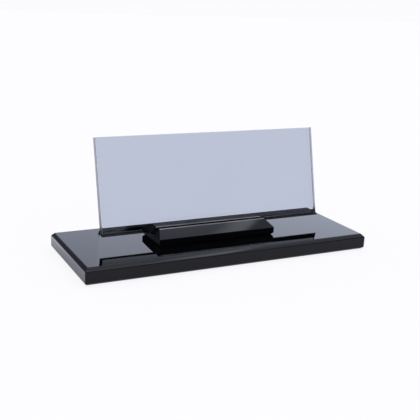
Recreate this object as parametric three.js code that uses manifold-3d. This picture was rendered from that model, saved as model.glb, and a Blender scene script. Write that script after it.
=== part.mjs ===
// A crystal desk name plate: a black crystal base slab with a bevelled top, a clear crystal
// plate that leans back on it, and a black crystal bar with a slot for business cards.
// Millimetres, +Z up, +X to the right of someone reading the plate, and -Y towards that reader.
// The origin is on the desk, under the centre of the base slab.

import * as THREE from 'three';
import { mergeVertices } from 'three/addons/utils/BufferGeometryUtils.js';
import Module from 'manifold-3d';

// Base slab
const baseLength = 250;
const baseDepth = 92;
const baseThickness = 13.2;
const baseBevel = 2.6;
const baseArris = 1.6;

// Foot pads under the slab
const padDiameter = 10;
const padThickness = 0.5;
const padInset = 14;
const padSides = 32;

// Clear cement under the plate and under the card bar
const bondThickness = 0.3;
const bondMargin = 0.8;

// Name plate
const plateWidth = 208.5;
const plateHeight = 80.5;
const plateThickness = 6.8;
const plateLean = THREE.MathUtils.degToRad(13.5);
const plateArris = 0.5;
const plateOffset = 15;
const plateSetback = 66.5;

// Card bar
const barLength = 104.5;
const barDepth = 37;
const barHeight = 11.2;
const barArris = 1.4;
const barBevelRun = 10;
const barBevelDrop = 5;
const barEndBevelRun = 4;
const barOffset = -4;
const barToPlateGap = 3.8;

// Slot in the bar for business cards
const slotWidth = 5;
const slotDepth = 6.5;
const slotFrontLand = 2.6;

// Heights and depths that follow from the sizes above
const slabBottom = padThickness;
const slabTop = slabBottom + baseThickness;
const seatHeight = slabTop + bondThickness;
const plateFootFront = -baseDepth / 2 + plateSetback;
const plateFootDepth = plateThickness / Math.cos(plateLean);
const barBack = plateFootFront - barToPlateGap;
const barFront = barBack - barDepth;

const wasm = await Module();
wasm.setup();

// A closed solid from rings of as many corners each, joined in order, with a flat cap at each end.
// The corners of each ring run anticlockwise, seen from the last ring towards the first.
function solidFromRings(rings) {
  const corners = rings[0].length;
  const index = [];
  for (let k = 0; k < rings.length - 1; k++) {
    for (let i = 0; i < corners; i++) {
      const a = k * corners + i;
      const b = k * corners + (i + 1) % corners;
      index.push(a, b, b + corners);
      index.push(a, b + corners, a + corners);
    }
  }
  const last = (rings.length - 1) * corners;
  for (let i = 1; i < corners - 1; i++) {
    index.push(0, i + 1, i);
    index.push(last, last + i, last + i + 1);
  }
  const geometry = new THREE.BufferGeometry();
  geometry.setAttribute('position', new THREE.Float32BufferAttribute(rings.flat(2), 3));
  geometry.setIndex(index);
  return geometry;
}

// A level rectangle at height z, drawn in by insetX at its ends and insetY at its front and back.
function levelRing(x0, x1, y0, y1, z, insetX = 0, insetY = insetX) {
  return [
    [x0 + insetX, y0 + insetY, z],
    [x1 - insetX, y0 + insetY, z],
    [x1 - insetX, y1 - insetY, z],
    [x0 + insetX, y1 - insetY, z],
  ];
}

function toManifold(geometry) {
  const bare = geometry.clone();
  bare.deleteAttribute('normal');
  bare.deleteAttribute('uv');
  const merged = mergeVertices(bare);
  const vertProperties = new Float32Array(merged.getAttribute('position').array);
  const triVerts = new Uint32Array(merged.getIndex().array);
  return new wasm.Manifold(new wasm.Mesh({ numProp: 3, vertProperties, triVerts }));
}

function toGeometry(solid) {
  const mesh = solid.getMesh();
  const geometry = new THREE.BufferGeometry();
  geometry.setAttribute('position', new THREE.Float32BufferAttribute(mesh.vertProperties, 3));
  geometry.setIndex(new THREE.BufferAttribute(mesh.triVerts, 1));
  return geometry;
}

// The slab: a small arris round its underside and a polished bevel round its top face.
function baseSlabGeometry() {
  const ring = (z, inset) =>
    levelRing(-baseLength / 2, baseLength / 2, -baseDepth / 2, baseDepth / 2, z, inset);
  return solidFromRings([
    ring(slabBottom, baseArris),
    ring(slabBottom + baseArris, 0),
    ring(slabTop - baseBevel, 0),
    ring(slabTop, baseBevel),
  ]);
}

// The plate leans back, and its foot is ground level, so that it sits flat on its cement.
// Each ring is the plate's outline at one depth behind its front face.
function namePlateGeometry() {
  const ring = (depth, inset) => {
    const point = (side, height) => [
      plateOffset + side * (plateWidth / 2 - inset),
      plateFootFront + height * Math.sin(plateLean) + depth * Math.cos(plateLean),
      seatHeight + height * Math.cos(plateLean) - depth * Math.sin(plateLean),
    ];
    const foot = depth * Math.tan(plateLean);
    const top = plateHeight - inset;
    const outline = [point(1, foot), point(-1, foot), point(-1, top), point(1, top)];
    outline[0][2] = seatHeight;
    outline[1][2] = seatHeight;
    return outline;
  };
  return solidFromRings([
    ring(0, plateArris),
    ring(plateArris, 0),
    ring(plateThickness - plateArris, 0),
    ring(plateThickness, plateArris),
  ]);
}

// The card bar: bevelled on all four sides of its top, with a slot along its whole length.
function cardBarGeometry() {
  const x0 = barOffset - barLength / 2;
  const x1 = barOffset + barLength / 2;
  const barTop = seatHeight + barHeight;
  const ring = (z, insetX, insetY) => levelRing(x0, x1, barFront, barBack, z, insetX, insetY);
  const block = solidFromRings([
    ring(seatHeight, barArris),
    ring(seatHeight + barArris, 0),
    ring(barTop - barBevelDrop, 0),
    ring(barTop, barEndBevelRun, barBevelRun),
  ]);
  const slotFront = barFront + barBevelRun + slotFrontLand;
  const overrun = 5;
  const slot = solidFromRings([
    levelRing(x0 - overrun, x1 + overrun, slotFront, slotFront + slotWidth, barTop - slotDepth),
    levelRing(x0 - overrun, x1 + overrun, slotFront, slotFront + slotWidth, barTop + overrun),
  ]);
  return toGeometry(toManifold(block).subtract(toManifold(slot)));
}

// A thin film of cement, a little smaller all round than the foot that it holds.
function bondGeometry(x0, x1, y0, y1) {
  return solidFromRings([
    levelRing(x0, x1, y0, y1, slabTop, bondMargin),
    levelRing(x0, x1, y0, y1, seatHeight, bondMargin),
  ]);
}

const materials = {
  blackCrystal: new THREE.MeshStandardMaterial({ color: 0x0b0c0f, roughness: 0.04, metalness: 0 }),
  clearCrystal: new THREE.MeshStandardMaterial({
    color: 0xbec3d7, roughness: 0.03, metalness: 0, transparent: true, opacity: 0.4,
  }),
  cement: new THREE.MeshStandardMaterial({ color: 0x30333a, roughness: 0.15, metalness: 0 }),
  pad: new THREE.MeshStandardMaterial({ color: 0x1a1a1b, roughness: 0.8, metalness: 0 }),
};

function namedMesh(name, geometry, material) {
  const mesh = new THREE.Mesh(geometry, material);
  mesh.name = name;
  return mesh;
}

const model = new THREE.Group();

model.add(namedMesh('base_slab', baseSlabGeometry(), materials.blackCrystal));
model.add(namedMesh('name_plate', namePlateGeometry(), materials.clearCrystal));
model.add(namedMesh('card_bar', cardBarGeometry(), materials.blackCrystal));

const plateBond = bondGeometry(
  plateOffset - plateWidth / 2,
  plateOffset + plateWidth / 2,
  plateFootFront,
  plateFootFront + plateFootDepth,
);
model.add(namedMesh('plate_bond', plateBond, materials.cement));

const barBond = bondGeometry(
  barOffset - barLength / 2 + barArris,
  barOffset + barLength / 2 - barArris,
  barFront + barArris,
  barBack - barArris,
);
model.add(namedMesh('bar_bond', barBond, materials.cement));

// One round pad near each corner of the slab's underside.
const padGeometry = new THREE.CylinderGeometry(padDiameter / 2, padDiameter / 2, padThickness, padSides);
const padRowX = baseLength / 2 - padInset;
const padRowY = baseDepth / 2 - padInset;
const padPlaces = [
  ['front_left', -padRowX, -padRowY],
  ['front_right', padRowX, -padRowY],
  ['back_left', -padRowX, padRowY],
  ['back_right', padRowX, padRowY],
];
for (const [corner, x, y] of padPlaces) {
  const pad = namedMesh(`foot_pad_${corner}`, padGeometry, materials.pad);
  pad.rotation.x = Math.PI / 2;
  pad.position.set(x, y, padThickness / 2);
  model.add(pad);
}

export default model;
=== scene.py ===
# %% [markdown]
# # A crystal desk name plate
# Three ground and polished blocks make this object: a black slab, a clear plate that leans back
# on it, and a black bar in front that is sawn for business cards. They are held together by thin
# films of clear cement, and the slab stands on four small pads. Nothing moves. Its looks are all
# in flat faces, crisp bevels and what they reflect, so this file spends its care on those.

# %% Load the fixed frame
import math

import bmesh
import bpy
from mathutils import Matrix, Vector


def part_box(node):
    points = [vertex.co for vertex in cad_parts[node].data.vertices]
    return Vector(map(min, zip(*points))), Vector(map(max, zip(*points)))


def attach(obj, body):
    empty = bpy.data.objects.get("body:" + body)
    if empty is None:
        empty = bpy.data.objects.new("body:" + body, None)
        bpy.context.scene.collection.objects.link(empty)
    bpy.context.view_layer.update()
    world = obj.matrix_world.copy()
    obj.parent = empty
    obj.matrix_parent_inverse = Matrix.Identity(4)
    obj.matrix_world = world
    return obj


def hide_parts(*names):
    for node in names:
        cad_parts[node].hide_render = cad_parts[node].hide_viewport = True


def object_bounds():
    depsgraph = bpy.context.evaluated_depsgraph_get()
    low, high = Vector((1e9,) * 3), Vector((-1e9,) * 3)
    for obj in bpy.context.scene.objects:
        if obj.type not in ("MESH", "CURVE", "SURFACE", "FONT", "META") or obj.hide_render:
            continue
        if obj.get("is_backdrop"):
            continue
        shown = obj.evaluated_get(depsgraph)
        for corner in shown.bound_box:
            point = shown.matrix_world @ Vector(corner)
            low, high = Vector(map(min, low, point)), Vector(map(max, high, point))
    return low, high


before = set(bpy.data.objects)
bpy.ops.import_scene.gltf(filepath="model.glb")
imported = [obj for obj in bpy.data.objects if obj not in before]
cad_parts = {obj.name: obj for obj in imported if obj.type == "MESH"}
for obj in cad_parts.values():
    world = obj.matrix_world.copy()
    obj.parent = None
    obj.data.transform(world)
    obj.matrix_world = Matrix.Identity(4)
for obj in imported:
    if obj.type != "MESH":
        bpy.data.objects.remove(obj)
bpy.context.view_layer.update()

# %% [markdown]
# ## The camera
# The camera comes first, because every finish is judged from where it stands. It is described as
# a photographer would: a point that it aims at, how far off it is, and how it is turned. The
# object's straight edges give these values, and the roll is small but real: the picture was taken
# slightly off level.

# %% Camera
MM = 0.001
PICTURE_SIZE = 420
FOCAL_PIXELS = 752.94
SENSOR_WIDTH = 36.0

camera_data = bpy.data.cameras.new("camera")
camera_data.sensor_width = SENSOR_WIDTH
camera_data.lens = FOCAL_PIXELS / PICTURE_SIZE * SENSOR_WIDTH
camera = bpy.data.objects.new("camera", camera_data)
bpy.context.scene.collection.objects.link(camera)
bpy.context.scene.camera = camera

camera_aim = Vector((-2.10, 1.34, 33.80)) * MM
camera_distance = 628.4 * MM
camera_azimuth = math.radians(-27.28)
camera_elevation = math.radians(16.01)
camera_roll = math.radians(2.55)

towards_camera = Vector((
    math.sin(camera_azimuth) * math.cos(camera_elevation),
    -math.cos(camera_azimuth) * math.cos(camera_elevation),
    math.sin(camera_elevation),
))
upright = (-towards_camera).to_track_quat("-Z", "Y").to_matrix().to_4x4()
camera.matrix_world = (
    Matrix.Translation(camera_aim + camera_distance * towards_camera)
    @ upright
    @ Matrix.Rotation(camera_roll, 4, "Z")
)
print("camera at", tuple(round(v, 4) for v in camera.matrix_world.translation))

# %% [markdown]
# ## Helpers for modelling as by hand
# Blender's mesh tools act on what is selected, so each step here selects first and then acts. These
# helpers pick edges or faces by a test on where they lie, and the tests that come up again have
# names of their own.

# %% Helpers for selecting
SAME_PLACE = 0.02 * MM
UPWARDS = 0.99


def leave_edit_mode():
    if bpy.context.mode != "OBJECT":
        bpy.ops.object.mode_set(mode="OBJECT")


def select_only(piece):
    leave_edit_mode()
    bpy.ops.object.select_all(action="DESELECT")
    piece.select_set(True)
    bpy.context.view_layer.objects.active = piece


def start_picking(piece, kind):
    """Enters edit mode with nothing selected, and gives the mesh."""
    select_only(piece)
    bpy.ops.object.mode_set(mode="EDIT")
    bpy.ops.mesh.select_mode(type=kind)
    bpy.ops.mesh.select_all(action="DESELECT")
    return bmesh.from_edit_mesh(piece.data)


def pick_edges(piece, test):
    """Selects the edges whose two ends pass the test, and gives their number."""
    mesh = start_picking(piece, "EDGE")
    chosen = [edge for edge in mesh.edges if test(edge.verts[0].co, edge.verts[1].co)]
    for edge in chosen:
        edge.select_set(True)
    mesh.select_flush_mode()
    bmesh.update_edit_mesh(piece.data)
    return len(chosen)


def pick_faces(piece, test):
    """Selects the faces whose centre and normal pass the test."""
    mesh = start_picking(piece, "FACE")
    mesh.normal_update()
    for face in mesh.faces:
        if test(face.calc_center_median(), face.normal):
            face.select_set(True)
    bmesh.update_edit_mesh(piece.data)


def near(value, target):
    return abs(value - target) < SAME_PLACE


def level_at(height):
    """A test for the edges that lie level at the height."""
    return lambda a, b: near(a.z, height) and near(b.z, height)


def lengthwise_at(height):
    """A test for the edges that run along X at the height."""
    level = level_at(height)
    return lambda a, b: level(a, b) and near(a.y, b.y)


def faces_up(centre, normal):
    return normal.z > UPWARDS


# %% [markdown]
# Nearly every shape here is made in one of four ways. A block is set between two corners, picked
# edges are bevelled, a block's top is drawn up and narrowed or widened, and a piece is closed by
# rounding its edges very slightly while its flats stay flat. No real edge is perfectly sharp, and
# on black crystal that thin round is what catches the light.

# %% Helpers for shaping
ROUND_SEGMENTS = 2
ROUND_FROM_ANGLE = math.radians(20)
FLATS_WEIGHT = 100


def add_block(name, low, high):
    bpy.ops.object.select_all(action="DESELECT")
    centre = (Vector(low) + Vector(high)) / 2
    size = Vector(high) - Vector(low)
    bpy.ops.mesh.primitive_cube_add(size=1, location=centre, scale=size)
    block = bpy.context.active_object
    block.name = name
    block.data.name = name
    bpy.ops.object.transform_apply(location=True, rotation=True, scale=True)
    return block


def bevel_edges(piece, test, width, segments=1, profile=0.5):
    """Bevels the edges that pass the test, and gives their number."""
    picked = pick_edges(piece, test)
    bpy.ops.mesh.bevel(offset=width, offset_type="OFFSET", segments=segments, profile=profile)
    leave_edit_mode()
    return picked


def draw_up_top(piece, rise, scale, centre):
    """Extrudes the level top upwards, and then scales the new top about the centre."""
    pick_faces(piece, faces_up)
    bpy.ops.mesh.extrude_region_move(TRANSFORM_OT_translate={"value": (0, 0, rise)})
    leave_edit_mode()
    pick_faces(piece, faces_up)
    bpy.ops.transform.resize(value=scale, center_override=centre)
    leave_edit_mode()


def round_edges(piece, width):
    """Rounds every edge that isn't nearly flat, and shades smooth with the flats kept flat."""
    select_only(piece)
    rounding = piece.modifiers.new("edge_round", "BEVEL")
    rounding.width = width
    rounding.segments = ROUND_SEGMENTS
    rounding.limit_method = "ANGLE"
    rounding.angle_limit = ROUND_FROM_ANGLE
    bpy.ops.object.modifier_apply(modifier=rounding.name)
    bpy.ops.object.shade_smooth()
    flats = piece.modifiers.new("keep_flats", "WEIGHTED_NORMAL")
    flats.weight = FLATS_WEIGHT
    bpy.ops.object.modifier_apply(modifier=flats.name)


# %% [markdown]
# ## The black slab
# The real slab is a cut block whose top edge is ground to a 45 degree bevel on all four sides, and
# whose underside has a smaller arris, so that it doesn't chip. It could be an extruded outline,
# but a block with two edge bevels is how the workshop makes it, and each bevel stays a size that
# can be changed by itself. A bevel held against the lap by hand comes out slightly crowned, which
# slants the lights in it, so the top one has a few segments and a profile just fuller than flat.

# %% Slab
SLAB_BEVEL = 2.6 * MM
SLAB_BEVEL_CROWN = 0.2566
SLAB_BEVEL_STEPS = 4
SLAB_ARRIS = 1.6 * MM
SLAB_EDGE_ROUND = 0.4 * MM

slab_low, slab_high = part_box("base_slab")
slab = add_block("crystal_slab", slab_low, slab_high)
picked = bevel_edges(slab, level_at(slab_high.z), SLAB_BEVEL, SLAB_BEVEL_STEPS, SLAB_BEVEL_CROWN)
print("top edges bevelled:", picked)
picked = bevel_edges(slab, level_at(slab_low.z), SLAB_ARRIS)
print("bottom edges bevelled:", picked)
round_edges(slab, SLAB_EDGE_ROUND)
print("crystal_slab has", len(slab.data.polygons), "faces")

# %% [markdown]
# ## The clear plate
# The plate is a sheet of clear crystal with its long edges polished to a fine arris. Its foot is
# ground level, so that it can lean back and still sit flat on the cement. Modelling follows that:
# an upright block is turned about its front foot edge, and then a level cut takes off what would
# stand in the slab.

# %% Plate
PLATE_LEAN = math.radians(13.5)
PLATE_HEIGHT = 80.5 * MM
PLATE_THICKNESS = 6.8 * MM
PLATE_ARRIS = 0.5 * MM
PLATE_EDGE_ROUND = 0.1 * MM

plate_low, plate_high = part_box("name_plate")
seat = plate_low.z
foot_front = plate_low.y

spare_foot = PLATE_THICKNESS
plate = add_block(
    "crystal_plate",
    (plate_low.x, foot_front, seat - spare_foot),
    (plate_high.x, foot_front + PLATE_THICKNESS, seat + PLATE_HEIGHT),
)
picked = bevel_edges(plate, lambda a, b: max(a.z, b.z) > seat, PLATE_ARRIS)
print("plate edges ground:", picked)

foot_edge = Vector((0, foot_front, seat))
plate.matrix_world = (
    Matrix.Translation(foot_edge)
    @ Matrix.Rotation(-PLATE_LEAN, 4, "X")
    @ Matrix.Translation(-foot_edge)
)
select_only(plate)
bpy.ops.object.transform_apply(location=True, rotation=True, scale=True)

bpy.ops.object.mode_set(mode="EDIT")
bpy.ops.mesh.select_all(action="SELECT")
bpy.ops.mesh.bisect(
    plane_co=foot_edge, plane_no=(0, 0, -1), use_fill=True, clear_outer=True
)
leave_edit_mode()
round_edges(plate, PLATE_EDGE_ROUND)

plate_top = max(v.co.z for v in plate.data.vertices)
print("crystal_plate top is", round((plate_top - plate_high.z) / MM, 3), "mm off the CAD")

# %% [markdown]
# ## The card bar
# The bar is bevelled on all four sides of its top: steep at the ends and shallow along the front
# and back. That is a truncated wedge, so the block is first made as high as its upright sides, and
# its top face is then drawn up and in by different amounts along and across. It goes up in two
# steps, the first a little steeper, which crowns these bevels as the slab's are.

# %% Bar
BAR_ARRIS = 1.4 * MM
BAR_BEVEL_DROP = 5 * MM
BAR_BEVEL_RUN = 10 * MM
BAR_END_BEVEL_RUN = 4 * MM
BAR_CROWN = math.radians(1.5)
BAR_EDGE_ROUND = 0.2 * MM

bar_low, bar_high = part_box("card_bar")
shoulder = bar_high.z - BAR_BEVEL_DROP
bar = add_block("crystal_bar", bar_low, (bar_high.x, bar_high.y, shoulder))

bar_size = bar_high - bar_low
bar_centre = (bar_high + bar_low) / 2
bevel_slope = math.atan(BAR_BEVEL_DROP / BAR_BEVEL_RUN)
first_rise = BAR_BEVEL_RUN / 2 * math.tan(bevel_slope + BAR_CROWN)
top_length = bar_size.x
top_depth = bar_size.y
for rise in (first_rise, BAR_BEVEL_DROP - first_rise):
    drawn_in = (1 - BAR_END_BEVEL_RUN / top_length, 1 - BAR_BEVEL_RUN / top_depth, 1)
    draw_up_top(bar, rise, drawn_in, bar_centre)
    top_length -= BAR_END_BEVEL_RUN
    top_depth -= BAR_BEVEL_RUN

bevel_edges(bar, level_at(bar_low.z), BAR_ARRIS)
round_edges(bar, BAR_EDGE_ROUND)
print("crystal_bar before its cut has", len(bar.data.polygons), "faces")

# %% [markdown]
# A saw cut along the bar holds the cards. A boolean with a saw blade's own section makes it,
# because the cut runs out through both end bevels, which hand modelling would make untidy. The saw
# would leave the slot's two top edges sharp enough to cut a finger, so they are touched on a lap,
# which leaves a fine arris. It could be a bevel on the bar after the cut. The blade has it here
# instead: its top face is drawn up and widened, so that one cut makes slot and arris.

# %% Slot for the cards
SLOT_WIDTH = 5 * MM
SLOT_ARRIS = 0.4 * MM
SLOT_DEPTH = 6.5 * MM
SLOT_FRONT_LAND = 2.6 * MM
SAW_CORNER_ROUND = 0.6 * MM
SAW_CORNER_STEPS = 3
SAW_OVERRUN = 4 * MM

slot_front = bar_low.y + BAR_BEVEL_RUN + SLOT_FRONT_LAND
slot_floor = bar_high.z - SLOT_DEPTH
slot_middle = slot_front + SLOT_WIDTH / 2
arris_foot = bar_high.z - SLOT_ARRIS
saw = add_block(
    "saw_blade",
    (bar_low.x - SAW_OVERRUN, slot_front, slot_floor),
    (bar_high.x + SAW_OVERRUN, slot_front + SLOT_WIDTH, arris_foot),
)
widened = (1, 1 + 2 * SAW_OVERRUN / SLOT_WIDTH, 1)
draw_up_top(saw, SAW_OVERRUN, widened, (0, slot_middle, 0))
bevel_edges(saw, lengthwise_at(slot_floor), SAW_CORNER_ROUND, SAW_CORNER_STEPS)

select_only(bar)
cut = bar.modifiers.new("card_slot", "BOOLEAN")
cut.operation = "DIFFERENCE"
cut.solver = "EXACT"
cut.object = saw
bpy.ops.object.modifier_apply(modifier=cut.name)
bpy.data.objects.remove(saw)
print("crystal_bar after its cut has", len(bar.data.polygons), "faces")

# %% [markdown]
# ## Cement films
# Clear cement holds the plate and the bar. It is a film thinner than a fingernail, and what shows
# of it is a fine dark line under each foot, with a small meniscus where it was wiped. Each film
# is a flat block whose upright edges are drawn in to a soft bead. It reaches a hair into the
# glass, because cement that wets a foot leaves no air for light to bounce off.

# %% Films
FILM_SET_BACK = 0.2 * MM
FILM_WETS = 0.02 * MM
FILM_BEAD = 0.12 * MM
FILM_BEAD_STEPS = 2


def add_film(name, foot_low, foot_high, slab_top, film_top):
    film = add_block(
        name,
        (foot_low.x + FILM_SET_BACK, foot_low.y + FILM_SET_BACK, slab_top),
        (foot_high.x - FILM_SET_BACK, foot_high.y - FILM_SET_BACK, film_top),
    )
    bevel_edges(film, lambda a, b: near(a.z, b.z), FILM_BEAD, FILM_BEAD_STEPS)
    return film


foot_depth = PLATE_THICKNESS / math.cos(PLATE_LEAN)
plate_film = add_film(
    "plate_cement",
    plate_low,
    Vector((plate_high.x, foot_front + foot_depth, 0)),
    slab_high.z,
    seat + FILM_WETS,
)
bar_foot_inset = Vector((BAR_ARRIS, BAR_ARRIS, 0))
bar_film = add_film(
    "bar_cement",
    bar_low + bar_foot_inset,
    bar_high - bar_foot_inset,
    slab_high.z,
    bar_low.z + FILM_WETS,
)
print("films:", plate_film.name, bar_film.name)

# %% [markdown]
# The plate leans, so its cement also stands out as a fillet: a slim one along the front of the
# foot, and a fuller one behind it, where the lean leaves a wedge that holds the cement. Seen
# through the plate, that fillet is the black line over the foot. Each is a strip whose outer top
# edge is pushed down and in, which leaves the hollow slope of a wiped bead. Its inner top edge
# then leans with the plate.

# %% Fillets
FILLET_OVERHANG = 0.5 * MM
FRONT_FILLET_WIDTH = 0.9 * MM
FRONT_FILLET_HEIGHT = 1.4 * MM
BACK_FILLET_WIDTH = 4.2 * MM
BACK_FILLET_HEIGHT = 2.9 * MM
FILLET_HOLLOW = 0.68
FILLET_SMOOTH_ANGLE = math.radians(50)


def add_fillet(name, root_y, width, height, outwards):
    """A strip along the foot at root_y. Outwards is -1 before the foot and 1 behind it."""
    outer_y = root_y + outwards * width
    near_y, far_y = sorted((root_y, outer_y))
    top = slab_high.z + height
    strip = add_block(
        name,
        (plate_low.x - FILLET_OVERHANG, near_y, slab_high.z),
        (plate_high.x + FILLET_OVERHANG, far_y, top),
    )
    top_edge = lengthwise_at(top)
    pick_edges(strip, lambda a, b: top_edge(a, b) and near(a.y, outer_y))
    push = Vector((0, -outwards * width * FILLET_HOLLOW, -height * FILLET_HOLLOW))
    bpy.ops.transform.translate(value=push)
    leave_edit_mode()
    pick_edges(strip, top_edge)
    bpy.ops.transform.translate(value=(0, height * math.tan(PLATE_LEAN), 0))
    leave_edit_mode()
    select_only(strip)
    bpy.ops.object.shade_smooth_by_angle(angle=FILLET_SMOOTH_ANGLE)
    return strip


front_fillet = add_fillet(
    "plate_cement_front",
    foot_front + FILM_WETS,
    FRONT_FILLET_WIDTH,
    FRONT_FILLET_HEIGHT,
    outwards=-1,
)
back_fillet = add_fillet(
    "plate_cement_back",
    foot_front + foot_depth - FILM_WETS,
    BACK_FILLET_WIDTH,
    BACK_FILLET_HEIGHT,
    outwards=1,
)
print("fillets:", front_fillet.name, back_fillet.name)

# %% [markdown]
# ## Foot pads
# Four thin self-adhesive pads keep the slab off the desk. Each is a disc whose lower rim is
# rounded from the die that cut it. One is modelled and the others are copies of it, each with a
# mesh of its own, set where the frame has its pads.

# %% Pads
PAD_RIM_ROUND = 0.2 * MM
PAD_RIM_STEPS = 2
PAD_SIDES = 48
pad_nodes = [
    "foot_pad_front_left",
    "foot_pad_front_right",
    "foot_pad_back_left",
    "foot_pad_back_right",
]

first_low, first_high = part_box(pad_nodes[0])
pad_size = first_high - first_low
bpy.ops.object.select_all(action="DESELECT")
bpy.ops.mesh.primitive_cylinder_add(
    vertices=PAD_SIDES,
    radius=pad_size.x / 2,
    depth=pad_size.z,
    location=(first_low + first_high) / 2,
)
first_pad = bpy.context.active_object
first_pad.name = "pad_front_left"
bpy.ops.object.transform_apply(location=True, rotation=True, scale=True)
bevel_edges(first_pad, level_at(first_low.z), PAD_RIM_ROUND, PAD_RIM_STEPS)

pads = [first_pad]
for node in pad_nodes[1:]:
    low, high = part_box(node)
    copy = first_pad.copy()
    copy.data = first_pad.data.copy()
    copy.name = node.replace("foot_pad", "pad")
    copy.data.transform(Matrix.Translation(low - first_low))
    bpy.context.scene.collection.objects.link(copy)
    pads.append(copy)
print("pads:", [p.name for p in pads])

# %% [markdown]
# ## Helpers for materials
# Every finish here is a Principled shader with a few procedural layers on it. The constants sit on
# the shader's own sockets. Noise on Object coordinates drives what varies: where the polish is a
# little less bright, and the slight waves that any hand-held lap leaves in a flat. Each helper
# works in the node tree of the shader that it is given.

# %% Material helpers
PLAIN_GLOSS = 0.5
NOISE_MIDDLE = (0.35, 0.65)


def empty_tree(owner, output_type):
    """Clears a material's or world's nodes, and gives the tree and its surface socket."""
    owner.use_nodes = True
    tree = owner.node_tree
    tree.nodes.clear()
    output = tree.nodes.new(output_type)
    return tree, output.inputs["Surface"]


def new_material(name, index, gloss=PLAIN_GLOSS):
    material = bpy.data.materials.new(name)
    tree, surface = empty_tree(material, "ShaderNodeOutputMaterial")
    shader = tree.nodes.new("ShaderNodeBsdfPrincipled")
    shader.inputs["IOR"].default_value = index
    shader.inputs["Specular IOR Level"].default_value = gloss
    tree.links.new(shader.outputs["BSDF"], surface)
    return material, shader


def object_noise(shader, scale, detail, roughness=0.5, stretch=(1, 1, 1)):
    """A noise over the piece. Its scale is in waves to the metre, so their size is plain."""
    tree = shader.id_data
    coordinates = tree.nodes.new("ShaderNodeTexCoord")
    mapping = tree.nodes.new("ShaderNodeMapping")
    mapping.inputs["Scale"].default_value = stretch
    noise = tree.nodes.new("ShaderNodeTexNoise")
    noise.inputs["Scale"].default_value = scale
    noise.inputs["Detail"].default_value = detail
    noise.inputs["Roughness"].default_value = roughness
    tree.links.new(coordinates.outputs["Object"], mapping.inputs["Vector"])
    tree.links.new(mapping.outputs["Vector"], noise.inputs["Vector"])
    return noise.outputs["Fac"]


def spread(tree, noise, low, high):
    """Maps the middle of a noise to the range that a socket needs."""
    mapped = tree.nodes.new("ShaderNodeMapRange")
    mapped.inputs["From Min"].default_value = NOISE_MIDDLE[0]
    mapped.inputs["From Max"].default_value = NOISE_MIDDLE[1]
    mapped.inputs["To Min"].default_value = low
    mapped.inputs["To Max"].default_value = high
    tree.links.new(noise, mapped.inputs["Value"])
    return mapped.outputs["Result"]


def blend_colours(tree, share, first, second):
    mix = tree.nodes.new("ShaderNodeMix")
    mix.data_type = "RGBA"
    mix.inputs["A"].default_value = (*first, 1)
    mix.inputs["B"].default_value = (*second, 1)
    tree.links.new(share, mix.inputs["Factor"])
    return mix.outputs["Result"]


def vary(shader, tint, colours, wear, roughness):
    """Blends two colours by one noise, and two roughnesses by another or by the same."""
    tree = shader.id_data
    colour = blend_colours(tree, spread(tree, tint, 0, 1), *colours)
    tree.links.new(colour, shader.inputs["Base Color"])
    tree.links.new(spread(tree, wear, *roughness), shader.inputs["Roughness"])


def add_bump(shader, height, strength, distance):
    tree = shader.id_data
    bump = tree.nodes.new("ShaderNodeBump")
    bump.inputs["Strength"].default_value = strength
    bump.inputs["Distance"].default_value = distance
    tree.links.new(height, bump.inputs["Height"])
    tree.links.new(bump.outputs["Normal"], shader.inputs["Normal"])


# %% [markdown]
# ## Black crystal
# Black crystal is glass so full of colour that nothing comes back out of it. All that is seen is
# its skin: a Fresnel reflection that is weak from above and strong at a grazing look. A near black
# base colour with the index of crystal gives just that. The polish is a mirror, with a few duller
# patches where fingers and cloths have been, and waves far too slight to see but for the way that
# they bend a reflected edge.

# %% Black crystal
CRYSTAL_INDEX = 1.54
FACE_ON_GLOSS = 0.2
BLACK = (0.0010, 0.0011, 0.0016)
BLACK_HAZED = (0.0018, 0.0020, 0.0028)
MIRROR_POLISH = (0.012, 0.045)

black_crystal, shader = new_material("black_crystal", CRYSTAL_INDEX, FACE_ON_GLOSS)
haze = object_noise(shader, scale=38, detail=3)
polish = object_noise(shader, scale=55, detail=4, roughness=0.6)
vary(shader, haze, (BLACK, BLACK_HAZED), polish, MIRROR_POLISH)
waves = object_noise(shader, scale=22, detail=1)
add_bump(shader, waves, strength=0.05, distance=0.2 * MM)
print("black crystal, index", CRYSTAL_INDEX)

# %% [markdown]
# ## Sawn black crystal
# The slot is cut and not polished, so its walls are satin: the same black glass with a rough skin
# that is scored along the cut.

# %% Sawn crystal
SAWN_COLOURS = (BLACK, (0.006, 0.0065, 0.008))
SAWN_ROUGHNESS = (0.22, 0.42)

sawn_crystal, shader = new_material("sawn_crystal", CRYSTAL_INDEX, FACE_ON_GLOSS)
score = object_noise(shader, scale=900, detail=2, stretch=(0.05, 1, 1))
vary(shader, score, SAWN_COLOURS, score, SAWN_ROUGHNESS)
add_bump(shader, score, strength=0.25, distance=0.05 * MM)
print("sawn crystal made")

# %% [markdown]
# The two level lands beside the slot are a little rough, and their pale grey base colour is a
# painted highlight. The one behind the slot shows as a thin grey line.

# %% Lands with a painted highlight
PAINTED_LAND_HIGHLIGHT_COLOURS = ((0.040, 0.044, 0.051), (0.068, 0.072, 0.084))
LAND_ROUGHNESS = (0.25, 0.40)

land_painted_highlight, shader = new_material("land_painted_highlight", CRYSTAL_INDEX, FACE_ON_GLOSS)
land_highlight_noise = object_noise(shader, scale=700, detail=3, stretch=(0.1, 1, 1))
vary(shader, land_highlight_noise, PAINTED_LAND_HIGHLIGHT_COLOURS, land_highlight_noise, LAND_ROUGHNESS)
print("frosted lands made")

# %% [markdown]
# The front land and the slot's arrises are matt. Their base colour is paler still than the other
# land,
# and it is a painted highlight: from the front they are the two light lines beside the slot.

# %% Slot rims with a painted highlight
PAINTED_SLOT_RIM_HIGHLIGHT_COLOURS = ((0.15, 0.16, 0.17), (0.31, 0.32, 0.34))
SLOT_RIM_ROUGHNESS = (0.3, 0.5)

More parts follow.
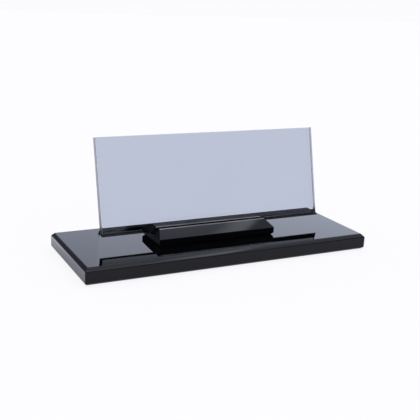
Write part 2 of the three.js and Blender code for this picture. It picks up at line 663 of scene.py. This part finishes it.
slot_rim_painted_highlight, shader = new_material("slot_rim_painted_highlight", CRYSTAL_INDEX, FACE_ON_GLOSS)
slot_rim_highlight_noise = object_noise(shader, scale=500, detail=3, stretch=(0.1, 1, 1))
vary(shader, slot_rim_highlight_noise, PAINTED_SLOT_RIM_HIGHLIGHT_COLOURS, slot_rim_highlight_noise, SLOT_RIM_ROUGHNESS)
print("rubbed edges made")

# %% [markdown]
# The bar's ends and their bevels are lapped but not polished, because the slot runs out through
# them. They are satin: they hardly mirror anything, and a little light comes back from all over.

# %% Satin ends
SATIN_GLOSS = 0.03
SATIN_COLOURS = ((0.004, 0.0045, 0.006), (0.010, 0.011, 0.014))
SATIN_ROUGHNESS = (0.18, 0.28)

satin_end, shader = new_material("satin_end", CRYSTAL_INDEX, SATIN_GLOSS)
lapping = object_noise(shader, scale=600, detail=3)
vary(shader, lapping, SATIN_COLOURS, lapping, SATIN_ROUGHNESS)
print("satin ends made")

# %% [markdown]
# ## Clear crystal
# The plate is clear with a pale blue-grey cast, which shows as an even tone in front of a white
# background. Transmission does the seeing through, and the cast is the base colour. Its faces are
# polished as the slab is.

# %% Clear crystal
CAST = (0.533, 0.575, 0.687)
CAST_DEEPER = (0.523, 0.564, 0.677)
CLEAR_POLISH = (0.0, 0.012)

clear_crystal, shader = new_material("clear_crystal", CRYSTAL_INDEX)
shader.inputs["Transmission Weight"].default_value = 1.0
cast = object_noise(shader, scale=14, detail=1)
polish = object_noise(shader, scale=60, detail=4, roughness=0.6)
vary(shader, cast, (CAST, CAST_DEEPER), polish, CLEAR_POLISH)
print("clear crystal made")

# %% [markdown]
# The plate's narrow ends are ground finer than a sawn face but not to a full mirror. Seen from
# the front each is a fine grey line beside the plate's even tone.

# %% Ground edge
GROUND_COLOURS = ((0.66, 0.67, 0.71), (0.76, 0.77, 0.80))
GROUND_ROUGHNESS = (0.30, 0.42)

ground_edge, shader = new_material("ground_edge", CRYSTAL_INDEX)
shader.inputs["Transmission Weight"].default_value = 1.0
grain = object_noise(shader, scale=1400, detail=2, stretch=(1, 1, 0.2))
vary(shader, grain, GROUND_COLOURS, grain, GROUND_ROUGHNESS)
print("ground edge made")

# %% [markdown]
# ## Cement and pads
# Set cement over black looks black with a soft gloss, and its streaks run along the foot. The
# pads are matt rubber, with the fine pebble that such sheet has.

# %% Cement and pad rubber
CEMENT_INDEX = 1.49
CEMENT_GLOSS = 0.1
CEMENT_COLOURS = ((0.0015, 0.0016, 0.0022), (0.007, 0.008, 0.010))
CEMENT_ROUGHNESS = (0.12, 0.25)
RUBBER_INDEX = 1.5
RUBBER_COLOURS = ((0.012, 0.012, 0.012), (0.028, 0.028, 0.027))
RUBBER_ROUGHNESS = (0.7, 0.9)

cement, shader = new_material("set_cement", CEMENT_INDEX, CEMENT_GLOSS)
streaks = object_noise(shader, scale=90, detail=2, stretch=(0.25, 1, 1))
vary(shader, streaks, CEMENT_COLOURS, streaks, CEMENT_ROUGHNESS)

pad_rubber, shader = new_material("pad_rubber", RUBBER_INDEX)
pebble = object_noise(shader, scale=2200, detail=2)
vary(shader, pebble, RUBBER_COLOURS, pebble, RUBBER_ROUGHNESS)
add_bump(shader, pebble, strength=0.6, distance=0.05 * MM)
print("cement and rubber made")

# %% [markdown]
# ## Finishes on the pieces
# Each piece gets its material, and two pieces get more on some faces. A different tool left the
# bar's satin ends, the slot's walls and the plate's two narrow ends. The land behind the slot, and
# the front land and arrises beside it, get pale colours that are painted highlights, brightest on
# the front land and arrises. A later finish goes over an earlier one, so the order of the lines
# matters.

# %% Put the finishes on
BAR_ENDS = 0.6
PLATE_ENDS = 0.95
SLOT_SLACK = 0.05 * MM
WALL_TOP = 0.3 * MM
ALONG_SLOT = 0.5
ARRIS_SLOPE = (0.6, 0.8)


def give_material(piece, material):
    piece.data.materials.clear()
    piece.data.materials.append(material)


def add_finish(piece, material, test):
    """Puts one more material on the faces whose centre and normal pass the test."""
    piece.data.materials.append(material)
    chosen = [face for face in piece.data.polygons if test(face.center, face.normal)]
    for face in chosen:
        face.material_index = len(piece.data.materials) - 1
    print(piece.name, "has", len(chosen), "faces of", material.name)


def is_end(steepness):
    return lambda centre, normal: abs(normal.x) > steepness


def in_slot(centre, normal):
    inside = slot_front - SLOT_SLACK < centre.y < slot_front + SLOT_WIDTH + SLOT_SLACK
    return inside and centre.z < bar_high.z - WALL_TOP and abs(normal.x) < ALONG_SLOT


def on_land(centre, normal):
    return faces_up(centre, normal) and near(centre.z, bar_high.z)


def on_front_land(centre, normal):
    return on_land(centre, normal) and centre.y < slot_middle


def on_slot_arris(centre, normal):
    across_slot = abs(centre.y - slot_middle) < SLOT_WIDTH / 2 + SLOT_ARRIS
    return across_slot and centre.z > arris_foot and ARRIS_SLOPE[0] < normal.z < ARRIS_SLOPE[1]


give_material(slab, black_crystal)
give_material(plate, clear_crystal)
give_material(bar, black_crystal)
add_finish(bar, satin_end, is_end(BAR_ENDS))
add_finish(bar, sawn_crystal, in_slot)
add_finish(bar, land_painted_highlight, on_land)
add_finish(bar, slot_rim_painted_highlight, on_front_land)
add_finish(bar, slot_rim_painted_highlight, on_slot_arris)
add_finish(plate, ground_edge, is_end(PLATE_ENDS))
for film in (plate_film, front_fillet, back_fillet, bar_film):
    give_material(film, cement)
for pad in pads:
    give_material(pad, pad_rubber)

# %% [markdown]
# ## Riding on the frame
# Nothing on this object moves, so every piece rides on the one body, and the node of the frame that
# it stands for is hidden. The list gives each new piece, that node, and a finish of the record,
# which nothing here reads.

# %% Ride and replace
places = [
    (slab, "base_slab", "black_crystal"),
    (plate, "name_plate", "clear_crystal"),
    (bar, "card_bar", "black_crystal"),
    (plate_film, "plate_bond", "clear_cement"),
    (front_fillet, "plate_bond", "clear_cement"),
    (back_fillet, "plate_bond", "clear_cement"),
    (bar_film, "bar_bond", "clear_cement"),
]
places += [(pad, node, "rubber_pad") for pad, node in zip(pads, pad_nodes)]
for piece, node, slot_name in places:
    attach(piece, "root")
    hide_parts(node)
print(len(places), "pieces ride on root")

# %% [markdown]
# ## Helpers for the studio
# The floor, the surround and the cards are all worked out from a few smooth steps, so these helpers
# chain them: one node of arithmetic, one smooth fade and one product of several factors. Others
# give a point's coordinates, tell looks from reflections, and mix two shaders.

# %% Helpers for node trees
def feed(tree, value, socket):
    """Sets the socket to a number, or links it to another socket."""
    if isinstance(value, (int, float)):
        socket.default_value = value
    else:
        tree.links.new(value, socket)


def math_node(tree, operation, first, second=0.0, clamp=False):
    node = tree.nodes.new("ShaderNodeMath")
    node.operation = operation
    node.use_clamp = clamp
    feed(tree, first, node.inputs[0])
    feed(tree, second, node.inputs[1])
    return node.outputs[0]


def fade(tree, value, start, stop, low=0.0, high=1.0):
    """Goes smoothly from low to high while the value goes from start to stop."""
    node = tree.nodes.new("ShaderNodeMapRange")
    node.interpolation_type = "SMOOTHSTEP"
    wanted = {"Value": value, "From Min": start, "From Max": stop, "To Min": low, "To Max": high}
    for name, setting in wanted.items():
        feed(tree, setting, node.inputs[name])
    return node.outputs["Result"]


def product(tree, *factors):
    total = factors[0]
    for factor in factors[1:]:
        total = math_node(tree, "MULTIPLY", total, factor)
    return total


def coordinates_of(tree, kind):
    """X, Y and Z of a point on the piece, or of a direction where the tree is the world's."""
    place = tree.nodes.new("ShaderNodeTexCoord")
    parts = tree.nodes.new("ShaderNodeSeparateXYZ")
    tree.links.new(place.outputs[kind], parts.inputs["Vector"])
    return [parts.outputs[axis] for axis in ("X", "Y", "Z")]


def ray_kinds(tree):
    """Whether a ray looks (by itself or through the plate), and whether it is a reflection."""
    rays = tree.nodes.new("ShaderNodeLightPath")
    through = rays.outputs["Is Transmission Ray"]
    looks = math_node(tree, "ADD", rays.outputs["Is Camera Ray"], through, clamp=True)
    reflects = math_node(tree, "SUBTRACT", rays.outputs["Is Glossy Ray"], through, clamp=True)
    return looks, reflects


def mix_shaders(tree, share, first, second, surface):
    """Sends the first shader to the surface, and the second in its place by its share."""
    mix = tree.nodes.new("ShaderNodeMixShader")
    tree.links.new(share, mix.inputs["Fac"])
    tree.links.new(first.outputs[0], mix.inputs[1])
    tree.links.new(second.outputs[0], mix.inputs[2])
    tree.links.new(mix.outputs[0], surface)


# %% [markdown]
# ## Floor
# The floor is a wide pale sheet. It is a plain matt surface that keeps the object's soft shadow,
# mixed with an even white, so that it meets the background with no horizon. What the polished
# faces show of it has less of that white in it, so that they darken towards the desk.

# %% Floor
FLOOR_SIZE = 12.0
FLOOR_COLOUR = (0.87, 0.87, 0.95)
FLOOR_WHITE_SEEN = 0.84
FLOOR_WHITE_REFLECTED = 0.22
FLOOR_WHITE = (1.012, 1.012, 1.025)
FLOOR_WHITE_IN_GLOSS = (1.9, 1.96, 2.3)

bpy.ops.object.select_all(action="DESELECT")
bpy.ops.mesh.primitive_plane_add(size=FLOOR_SIZE, location=(0, 0, 0))
floor = bpy.context.active_object
floor.name = "floor"

floor_material = bpy.data.materials.new("pale_floor")
tree, surface = empty_tree(floor_material, "ShaderNodeOutputMaterial")
looks, reflects = ray_kinds(tree)
matt = tree.nodes.new("ShaderNodeBsdfDiffuse")
matt.inputs["Color"].default_value = (*FLOOR_COLOUR, 1)
white = tree.nodes.new("ShaderNodeEmission")
white_colour = blend_colours(tree, reflects, FLOOR_WHITE, FLOOR_WHITE_IN_GLOSS)
tree.links.new(white_colour, white.inputs["Color"])
white_share = math_node(
    tree,
    "ADD",
    math_node(tree, "MULTIPLY", looks, FLOOR_WHITE_SEEN),
    math_node(tree, "MULTIPLY", reflects, FLOOR_WHITE_REFLECTED),
)
mix_shaders(tree, white_share, matt, white, surface)
floor.data.materials.append(floor_material)
floor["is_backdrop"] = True
print("floor", FLOOR_SIZE, "m wide")

# %% [markdown]
# The slab's left face mirrors the floor beside it, and in the picture it is far brighter than the
# front face, most of all towards the back. So what reflections show of the floor left of the slab
# is stronger. That grows towards the back, and falls off again well behind the slab.

# %% Brighter floor left of the slab
LEFT_STRIP_ENDS = (-146 * MM, -127 * MM)
LEFT_GAIN = 2.2
BACK_LEFT_STARTS = (0.0, 70 * MM)
BACK_LEFT_GAIN = 5.3
FAR_LEFT_STARTS = (120 * MM, 220 * MM)
FAR_LEFT_GAIN = 3.4

floor_x, floor_y, _ = coordinates_of(tree, "Object")
back_gain = fade(tree, floor_y, *FAR_LEFT_STARTS, BACK_LEFT_GAIN, FAR_LEFT_GAIN)
left_gain = fade(tree, floor_y, *BACK_LEFT_STARTS, LEFT_GAIN, back_gain)
gain = fade(tree, floor_x, *LEFT_STRIP_ENDS, left_gain, 1.0)
gain = math_node(tree, "MAXIMUM", product(tree, gain, reflects), 1.0)
tree.links.new(gain, white.inputs["Strength"])
print("floor up to", BACK_LEFT_GAIN, "times brighter left of the slab")

# %% [markdown]
# ## Studio light
# The light is a plain white surround, as in a product tent. Black crystal shows whatever it
# reflects, so what stands round the tent matters as much as the light itself. Lit panels could
# stand there, but they would light the floor too. Here the world holds both: the even tent that
# everything else sees, and a studio that only reflections see. It is worked out from where a
# reflection goes: its direction round the object, and how high.

# %% Surround
TENT_COLOUR = (0.972, 0.962, 0.992)

world = bpy.data.worlds.new("studio")
bpy.context.scene.world = world
tree, surface = empty_tree(world, "ShaderNodeOutputWorld")
_, reflects = ray_kinds(tree)
tent = tree.nodes.new("ShaderNodeBackground")
tent.inputs["Color"].default_value = (*TENT_COLOUR, 1)
studio = tree.nodes.new("ShaderNodeAddShader")
mix_shaders(tree, reflects, tent, studio, surface)

across, away, height = coordinates_of(tree, "Generated")
azimuth = math_node(tree, "ARCTAN2", across, away)


def add_light(colour, strength, socket):
    """Adds one light of the studio to one socket of the node that sums them."""
    light = tree.nodes.new("ShaderNodeBackground")
    light.inputs["Color"].default_value = (*colour, 1)
    tree.links.new(strength, light.inputs["Strength"])
    tree.links.new(light.outputs[0], socket)


def sin_of(degrees):
    return math.sin(math.radians(degrees))


print("tent colour", TENT_COLOUR)

# %% [markdown]
# A pale sweep goes all round the back, up to a little over 20 degrees, and is brighter on the
# right. One narrow black flag stands in it at the back left, which keeps the slab's left bevel
# dark. The side where a photographer stands is dim.

# %% Sweep
SWEEP_LEFT = 1.30
SWEEP_RIGHT = 1.72
SWEEP_TURNS = (math.radians(10), math.radians(40))
SWEEP_TOP = (sin_of(22), sin_of(27))
FLAG_AZIMUTH = math.radians(-24)
FLAG_HALF_WIDTH = math.radians(9)
FLAG_FADE = math.radians(4)
FLAG_DEPTH = 0.20
FRONT_STARTS = (math.radians(95), math.radians(125))
FRONT_SHARE = 0.10

off_flag = math_node(tree, "ABSOLUTE", math_node(tree, "SUBTRACT", azimuth, FLAG_AZIMUTH))
off_back = math_node(tree, "ABSOLUTE", azimuth)
sweep = product(
    tree,
    fade(tree, azimuth, *SWEEP_TURNS, SWEEP_LEFT, SWEEP_RIGHT),
    fade(tree, off_flag, FLAG_HALF_WIDTH, FLAG_HALF_WIDTH + FLAG_FADE, FLAG_DEPTH, 1.0),
    fade(tree, off_back, *FRONT_STARTS, 1.0, FRONT_SHARE),
    fade(tree, height, *SWEEP_TOP, 1.0, 0.0),
)
print("studio: sweep", SWEEP_LEFT, "to", SWEEP_RIGHT)

# %% [markdown]
# Overhead is a dim ceiling with two slanted strip lights in it, one ahead and one behind, which
# draw the soft bands on the bevels. All of it is plotted on a level plane, in units of how high
# that plane is. A strip's place across the plane shifts with the distance away, by one slant ahead
# and another behind. Left of the strips the ceiling is brighter, and right of them dimmer.

# %% Plan of the ceiling
LOWEST_HEIGHT = 0.05
CEILING_STARTS = (sin_of(26), sin_of(44))
FRONT_STRIP_MIDDLE = -0.400
FRONT_STRIP_SLANT = 0.9
BACK_STRIP_MIDDLE = 0.27
BACK_STRIP_SLANT = 0.3

over = math_node(tree, "MAXIMUM", height, LOWEST_HEIGHT)
plan_x = math_node(tree, "DIVIDE", across, over)
plan_y = math_node(tree, "DIVIDE", away, over)
above = fade(tree, height, *CEILING_STARTS)


def slant(middle, amount):
    return math_node(tree, "MULTIPLY", math_node(tree, "SUBTRACT", plan_y, middle), amount)


is_back = math_node(tree, "GREATER_THAN", plan_y, 0.0)
front_slant = slant(FRONT_STRIP_MIDDLE, FRONT_STRIP_SLANT)
back_slant = slant(BACK_STRIP_MIDDLE, BACK_STRIP_SLANT)
extra = product(tree, is_back, math_node(tree, "SUBTRACT", back_slant, front_slant))
lean = math_node(tree, "ADD", front_slant, extra)
strip_x = math_node(tree, "SUBTRACT", plan_x, lean)
print("strips slant by", FRONT_STRIP_SLANT, "ahead and", BACK_STRIP_SLANT, "behind")

# %% [markdown]
# The ceiling is bluish as the sweep is, so one light holds both. The strips are neutral, begin
# softly on their left and end sharply on their right, and are brighter ahead than behind.

# %% Ceiling and strip lights
SWEEP_COLOUR = (0.93, 1.00, 1.22)
CEILING_LEFT = 1.32
CEILING_RIGHT = 0.75
CEILING_RIGHT_AHEAD = 1.02
CEILING_FRONT_SHARE = 1.4
CEILING_TURNS = (-0.35, 0.25)
STRIP_COLOUR = (0.98, 1.05, 1.03)
STRIP_START = 0.40
STRIP_START_BACK = 0.50
STRIP_START_TURNS = (-0.3, 0.3)
STRIP_FULL = 0.55
STRIP_EDGE = (0.562, 0.585)
STRIP_FRONT = 2.55
STRIP_BACK = 1.3
STRIP_DIMS = (-0.5, 0.4)
STRIP_TIPS = (0.9, 1.3)

right_half = fade(tree, plan_y, *CEILING_TURNS, CEILING_RIGHT_AHEAD, CEILING_RIGHT)
ceiling = product(
    tree,
    above,
    fade(tree, strip_x, *STRIP_EDGE, CEILING_LEFT, right_half),
    fade(tree, plan_y, *CEILING_TURNS, CEILING_FRONT_SHARE, 1.0),
)
starts = fade(tree, plan_y, *STRIP_START_TURNS, STRIP_START, STRIP_START_BACK)
strips = product(
    tree,
    above,
    fade(tree, strip_x, starts, STRIP_FULL),
    fade(tree, strip_x, *STRIP_EDGE, 1.0, 0.0),
    fade(tree, plan_y, *STRIP_DIMS, STRIP_FRONT, STRIP_BACK),
    fade(tree, math_node(tree, "ABSOLUTE", plan_y), *STRIP_TIPS, 1.0, 0.0),
)
add_light(SWEEP_COLOUR, math_node(tree, "ADD", sweep, ceiling), studio.inputs[0])
add_light(STRIP_COLOUR, strips, studio.inputs[1])
print("studio: ceiling", CEILING_LEFT, "to", CEILING_RIGHT, "and strips", STRIP_FRONT, STRIP_BACK)

# %% [markdown]
# ## Cards round the plate
# In the picture, the slab's mirror image of the plate isn't what a clear plate gives. Its lowest
# 20 mm are missing, as bright as the slab beside it. Over them it starts with a black line and is
# then much darker than the plate itself, with black ends. The slab behind the plate is dark too.
# The plate's own geometry can't give this, so three cards stand here that only reflections see.
# They light the slab alone, so that the bar, which is dark beside them, stays dark.

# %% Card helpers
slab_alone = bpy.data.collections.new("lit_by_cards")
slab_alone.objects.link(slab)


def add_card(name, corners):
    mesh = bpy.data.meshes.new(name)
    mesh.from_pydata([tuple(c) for c in corners], [], [(0, 1, 2, 3)])
    card = bpy.data.objects.new(name, mesh)
    bpy.context.scene.collection.objects.link(card)
    card.visible_camera = False
    card.visible_diffuse = False
    card.visible_transmission = False
    card.visible_volume_scatter = False
    card.visible_shadow = False
    card.light_linking.receiver_collection = slab_alone
    card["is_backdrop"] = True
    return card


def card_material(name, make_brightness):
    """Light that leaves a card's front only. Its back lets light through."""
    material = bpy.data.materials.new(name)
    tree, surface = empty_tree(material, "ShaderNodeOutputMaterial")
    light = tree.nodes.new("ShaderNodeEmission")
    light.inputs["Color"].default_value = (*SWEEP_COLOUR, 1)
    clear = tree.nodes.new("ShaderNodeBsdfTransparent")
    geometry = tree.nodes.new("ShaderNodeNewGeometry")
    card_x, _, card_z = coordinates_of(tree, "Object")
    brightness, gone = make_brightness(tree, card_x, card_z)
    feed(tree, brightness, light.inputs["Strength"])
    hidden = math_node(tree, "MAXIMUM", geometry.outputs["Backfacing"], gone)
    mix_shaders(tree, hidden, light, clear, surface)
    return material


def on_plate(height, depth):
    """How far away and how high a point lies that is so far up and so deep in the plate."""
    y = foot_front + height * math.sin(PLATE_LEAN) + depth * math.cos(PLATE_LEAN)
    return y, seat + height * math.cos(PLATE_LEAN) - depth * math.sin(PLATE_LEAN)


# %% [markdown]
# The first card leans just before the plate and is a little longer. Up to the black line it is as
# bright as what the slab mirrors beside it, and over the line it is dark. The line is thicker at
# the right, and dark lines close both ends. Higher up the card fades out, beyond what the slab
# mirrors of the plate when it is seen from the camera.

# %% Card before the plate
CARD_GAP = 0.3 * MM
CARD_FOOT = 0.1 * MM
CARD_TOP = 60 * MM
CARD_LEFT = -90.2 * MM
CARD_RIGHT = 124.0 * MM
CARD_CLEAR_HEIGHT = 20.1 * MM
LINE_AT_LEFT = 2.0 * MM
LINE_AT_RIGHT = 5.3 * MM
LEFT_END_LINE = 2.7 * MM
RIGHT_END_LINE = 1.3 * MM
LINE_EDGE = 0.15 * MM
CARD_BRIGHT_LEFT = 1.50
CARD_BRIGHT_RIGHT = 1.68
CARD_BODY_BY_LINE = 0.29
CARD_BODY = 0.21
CARD_BODY_FADE = 4 * MM
CARD_FADES = (slab_high.z + 30 * MM, slab_high.z + 42 * MM)


def step_at(tree, value, place, low=0.0, high=1.0):
    return fade(tree, value, place - LINE_EDGE, place + LINE_EDGE, low, high)


def before_plate(tree, across, height):
    line_low = slab_high.z + CARD_CLEAR_HEIGHT
    bright = fade(tree, across, CARD_LEFT, CARD_RIGHT, CARD_BRIGHT_LEFT, CARD_BRIGHT_RIGHT)
    thickness = fade(tree, across, CARD_LEFT, CARD_RIGHT, LINE_AT_LEFT, LINE_AT_RIGHT)
    over_line_low = math_node(tree, "SUBTRACT", height, line_low)
    past_line = math_node(tree, "SUBTRACT", over_line_low, thickness)
    body = product(
        tree,
        bright,
        step_at(tree, past_line, 0.0),
        step_at(tree, across, CARD_LEFT + LEFT_END_LINE),
        step_at(tree, across, CARD_RIGHT - RIGHT_END_LINE, 1.0, 0.0),
        fade(tree, past_line, 0.0, CARD_BODY_FADE, CARD_BODY_BY_LINE, CARD_BODY),
    )
    foot = product(tree, bright, step_at(tree, height, line_low, 1.0, 0.0))
    return math_node(tree, "ADD", foot, body), fade(tree, height, *CARD_FADES)


low_y, low_z = on_plate(CARD_FOOT, -CARD_GAP)
high_y, high_z = on_plate(CARD_TOP, -CARD_GAP)
front_card = add_card("card_before_plate", [
    (CARD_LEFT, low_y, low_z),
    (CARD_RIGHT, low_y, low_z),
    (CARD_RIGHT, high_y, high_z),
    (CARD_LEFT, high_y, high_z),
])
front_card.data.materials.append(card_material("card_lines", before_plate))
print("card:", front_card.name)

# %% [markdown]
# From the left the slab would also mirror the plate's narrow end. The second card hides that end
# behind the tone that the slab mirrors there, and fades out at the same height.

# %% Card beside the plate
def beside_plate(tree, across, height):
    return CARD_BRIGHT_LEFT, fade(tree, height, *CARD_FADES)


back_low_y, back_low_z = on_plate(PLATE_THICKNESS * math.tan(PLATE_LEAN), PLATE_THICKNESS)
back_high_y, back_high_z = on_plate(CARD_TOP, PLATE_THICKNESS)
end_x = plate_low.x - CARD_GAP
end_card = add_card("card_beside_plate", [
    (end_x, back_low_y, back_low_z),
    (end_x, low_y, low_z),
    (end_x, high_y, high_z),
    (end_x, back_high_y, back_high_z),
])
end_card.data.materials.append(card_material("card_plain", beside_plate))
print("card:", end_card.name)

# %% [markdown]
# The third card is low and dark. It stands behind the slab, as long as the plate, and keeps the
# slab's rear strip dark where it is seen through the plate.

# %% Card behind the slab
DARK_CARD_BRIGHTNESS = 0.10
DARK_CARD_GAP = 4 * MM
DARK_CARD_LEFT = -80 * MM
DARK_CARD_RIGHT = 136 * MM
DARK_CARD_HEIGHT = 10 * MM


def behind_slab(tree, across, height):
    return DARK_CARD_BRIGHTNESS, 0.0


dark_y = slab_high.y + DARK_CARD_GAP
dark_top = slab_high.z + DARK_CARD_HEIGHT
back_card = add_card("card_behind_slab", [
    (DARK_CARD_LEFT, dark_y, slab_high.z),
    (DARK_CARD_RIGHT, dark_y, slab_high.z),
    (DARK_CARD_RIGHT, dark_y, dark_top),
    (DARK_CARD_LEFT, dark_y, dark_top),
])
back_card.data.materials.append(card_material("card_dark", behind_slab))
print("card:", back_card.name)

# %% [markdown]
# ## View
# The studio is lit so that its white is the picture's white, so colours are shown as they come,
# with no film curve over them.

# %% View settings
bpy.context.scene.view_settings.view_transform = "Standard"

# %% [markdown]
# ## Sizes
# Last, the box round the visual model is printed, in case a piece has grown out of the frame's.

# %% Print the visual box
low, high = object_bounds()
print("visual box from", tuple(low), "to", tuple(high))
